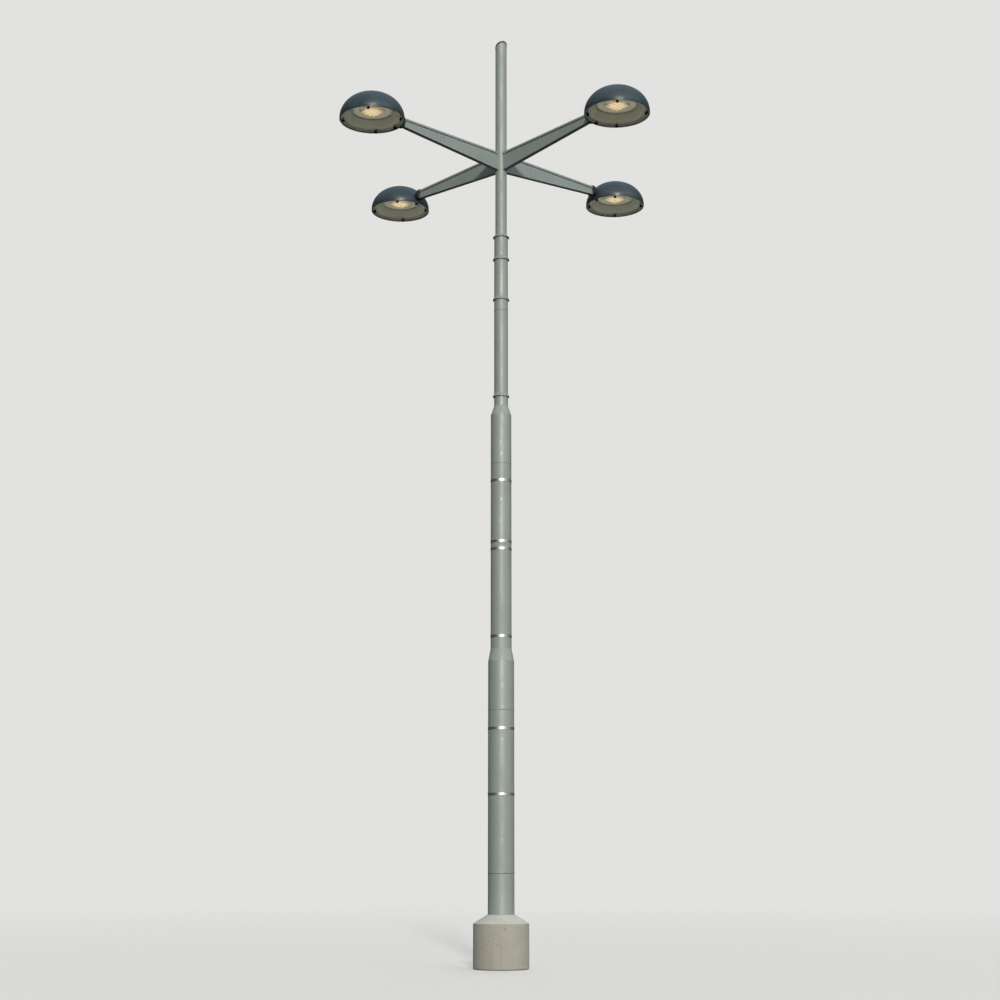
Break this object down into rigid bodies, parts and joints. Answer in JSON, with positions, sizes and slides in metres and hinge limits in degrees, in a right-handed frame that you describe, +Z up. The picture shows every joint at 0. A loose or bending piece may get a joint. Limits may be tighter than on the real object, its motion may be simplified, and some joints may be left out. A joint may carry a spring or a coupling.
{
  "type": "four-head street light",
  "caption": "Stepped tube mast on a concrete plinth with tapered arms in a cross, each carrying a round domed street luminaire with a flat glass underside.",
  "frame": {"origin": "centre of the plinth's underside, at ground level", "axes": "+Z up along the mast; the arms run along +X, -X, +Y and -Y"},
  "size_m": [3.462, 3.462, 8.1614],
  "materials": {
    "concrete": "matte",
    "mast_paint": "satin",
    "cap_paint": "satin",
    "polished_steel": "polished",
    "arm_paint": "satin",
    "casting": "satin",
    "dome_enamel": "gloss",
    "rim_metal": "satin",
    "pan_white": "matte",
    "lamp_face": "satin",
    "black_oxide": "satin",
    "clear_glass": "polished"
  },
  "bodies": {
    "root": {"plinth": "concrete", "bottom_tube": "mast_paint", "lower_reducer": "mast_paint", "middle_tube": "mast_paint", "upper_reducer": "mast_paint", "upper_tube": "mast_paint", "top_tube": "mast_paint", "mast_cap": "cap_paint", "collar_rings": "mast_paint", "polished_bands": "polished_steel", "arm_right": "arm_paint", "arm_back": "arm_paint", "arm_left": "arm_paint", "arm_front": "arm_paint", "neck_right": "casting", "neck_back": "casting", "neck_left": "casting", "neck_front": "casting", "dome_right": "dome_enamel", "dome_back": "dome_enamel", "dome_left": "dome_enamel", "dome_front": "dome_enamel", "rim_right": "rim_metal", "rim_back": "rim_metal", "rim_left": "rim_metal", "rim_front": "rim_metal", "pan_right": "pan_white", "pan_back": "pan_white", "pan_left": "pan_white", "pan_front": "pan_white", "lamp_right": "lamp_face", "lamp_back": "lamp_face", "lamp_left": "lamp_face", "lamp_front": "lamp_face", "glass_right": "clear_glass", "glass_back": "clear_glass", "glass_left": "clear_glass", "glass_front": "clear_glass", "screws_right": "black_oxide", "screws_back": "black_oxide", "screws_left": "black_oxide", "screws_front": "black_oxide"}
  },
  "joints": []
}
